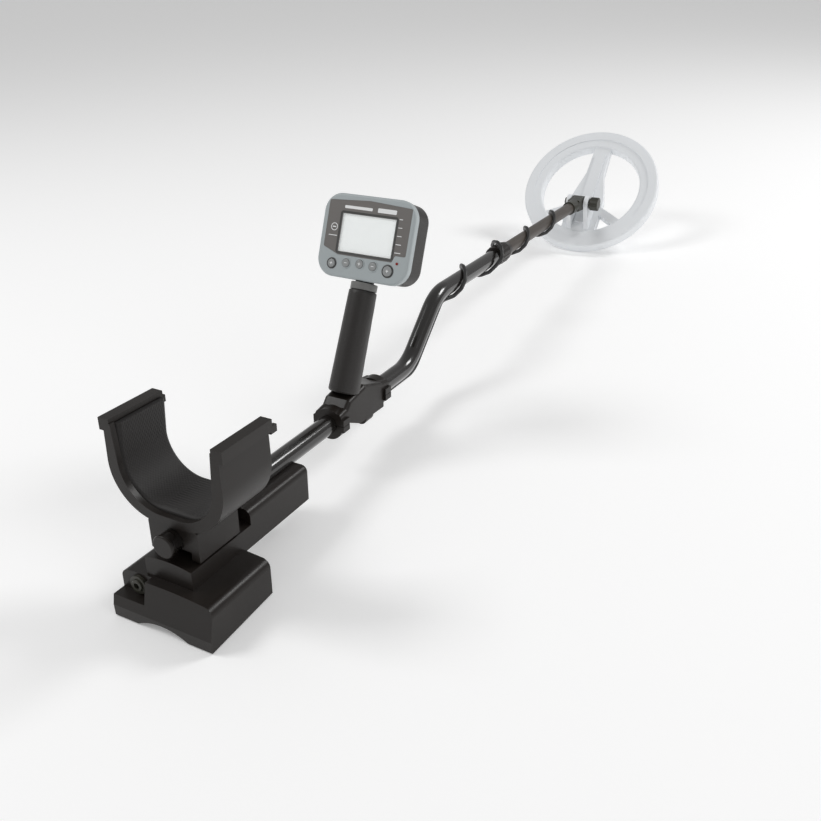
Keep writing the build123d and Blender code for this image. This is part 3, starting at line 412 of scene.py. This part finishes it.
surround = bmesh.new()
outer_top = face_ring(surround, SURROUND_OUTLINE, SURROUND_HEIGHT)
inner_top = face_ring(surround, SURROUND_OPENING, SURROUND_LIP)
outer_foot = face_ring(surround, SURROUND_OUTLINE, MARK_SUNK)
inner_foot = face_ring(surround, SURROUND_OPENING, MARK_SUNK)
add_band(surround, outer_top, inner_top)
add_band(surround, outer_foot, outer_top)
add_band(surround, inner_foot, inner_top)
add_band(surround, outer_foot, inner_foot)
settle("lcd_surround", surround, "panel_taupe", "main", MARK_DARK)

# ---------------------------------------------------------------- buttons: a ring round each, a sign on each
BUTTONS = [((-38, -32), 4.6), ((-19.5, -29.5), 4.6), ((-2, -28.5), 4.6), ((15, -29), 4.6), ((34, -31.5), 5.6)]
DARK_RINGED = (1, 5)
RING_SECTION = ((0.35, -0.1), (0.35, 0.5), (0.8, 0.75), (1.5, 0.5), (1.8, -0.1))
RING_WELD = 0.00001
SIGN_LOW = 1.3
SIGN_TOP = 1.58
SIGN_REACH = 1.7
SIGN_HALF = 0.35
SIGN_GAP = 0.36

for number, ((x, y), radius) in enumerate(BUTTONS, 1):
    collar = bmesh.new()
    for (r0, z0), (r1, z1) in zip(RING_SECTION, RING_SECTION[1:] + RING_SECTION[:1]):
        lower = face_ring(collar, ring(x, y, radius + r0), z0)
        upper = face_ring(collar, ring(x, y, radius + r1), z1)
        add_band(collar, lower, upper)
    bmesh.ops.remove_doubles(collar, verts=collar.verts, dist=RING_WELD)
    ring_finish = MARK_DARK if number in DARK_RINGED else None
    settle(f"button_ring_{number}", collar, "bezel_blue_grey", "main", ring_finish)
    sign = bmesh.new()
    level = bar(x - SIGN_REACH, y - SIGN_HALF, x + SIGN_REACH, y + SIGN_HALF, 0.15)
    add_prism(sign, level, SIGN_LOW, SIGN_TOP)
    if number % 2:
        for low, high in ((SIGN_GAP, SIGN_REACH), (-SIGN_REACH, -SIGN_GAP)):
            upright = bar(x - SIGN_HALF, y + low, x + SIGN_HALF, y + high, 0.1)
            add_prism(sign, upright, SIGN_LOW, SIGN_TOP)
    settle(f"button_sign_{number}", sign, "button_rubber", f"button_{number}", MARK_LIGHT)

# ---------------------------------------------------------------- indicator lamp
LAMP_CENTRE = (44, -22)
LAMP_FOOT = -0.1
LAMP_TOP = 0.7

lamp = bmesh.new()
add_prism(lamp, ring(*LAMP_CENTRE, radius=1.5, sides=24), LAMP_FOOT, LAMP_TOP)
settle("indicator_lens", lamp, "bezel_blue_grey", "main", LENS_RED)

# ---------------------------------------------------------------- floor, light and camera
bpy.ops.mesh.primitive_plane_add(size=14)
floor_plane = bpy.context.object
floor_plane.name = "floor"
floor_plane.data.materials.append(material("floor", (0.93, 0.93, 0.93), rough=0.7, glow=0.2))

world = bpy.data.worlds.new("studio")
bpy.context.scene.world = world
world.use_nodes = True
sky = world.node_tree.nodes["Background"]
sky.inputs["Color"].default_value = (1, 1, 1, 1)
sky.inputs["Strength"].default_value = 0.4


def softbox(name, at, towards, size, power):
    """A square area light that faces a point, in metres and watts."""
    light_data = bpy.data.lights.new(name, "AREA")
    light_data.size = size
    light_data.energy = power
    light = bpy.data.objects.new(name, light_data)
    light.location = at
    light.rotation_euler = (Vector(towards) - Vector(at)).to_track_quat("-Z", "Y").to_euler()
    bpy.context.scene.collection.objects.link(light)


softbox("key", at=(-1.6, -1.2, 2.2), towards=(0, -0.1, 0.1), size=0.9, power=22)
softbox("fill", at=(2.2, -1.0, 1.5), towards=(0, 0, 0.1), size=1.2, power=6)
softbox("rear", at=(1.7, 1.7, 2.1), towards=(0, -0.1, 0.1), size=0.9, power=34)

CAMERA_AT = row(492.4, -686.6, 451.5)
CAMERA_YAW = math.radians(28.0)
CAMERA_PITCH = math.radians(26.37)
CAMERA_LENS = 38.5871
look = Vector((-math.sin(CAMERA_YAW) * math.cos(CAMERA_PITCH), math.cos(CAMERA_YAW) * math.cos(CAMERA_PITCH),
               -math.sin(CAMERA_PITCH)))
side = Vector((math.cos(CAMERA_YAW), math.sin(CAMERA_YAW), 0))
overhead = side.cross(look)
turn = Matrix.Rotation(-SHAFT_FALL, 3, "X") @ Matrix((side, overhead, -look)).transposed()
camera_data = bpy.data.cameras.new("camera")
camera_data.lens = CAMERA_LENS
camera = bpy.data.objects.new("camera", camera_data)
camera.matrix_world = Matrix.Translation(CAMERA_AT) @ turn.to_4x4()
bpy.context.scene.collection.objects.link(camera)
bpy.context.scene.camera = camera
bpy.context.scene.view_settings.view_transform = "Standard"
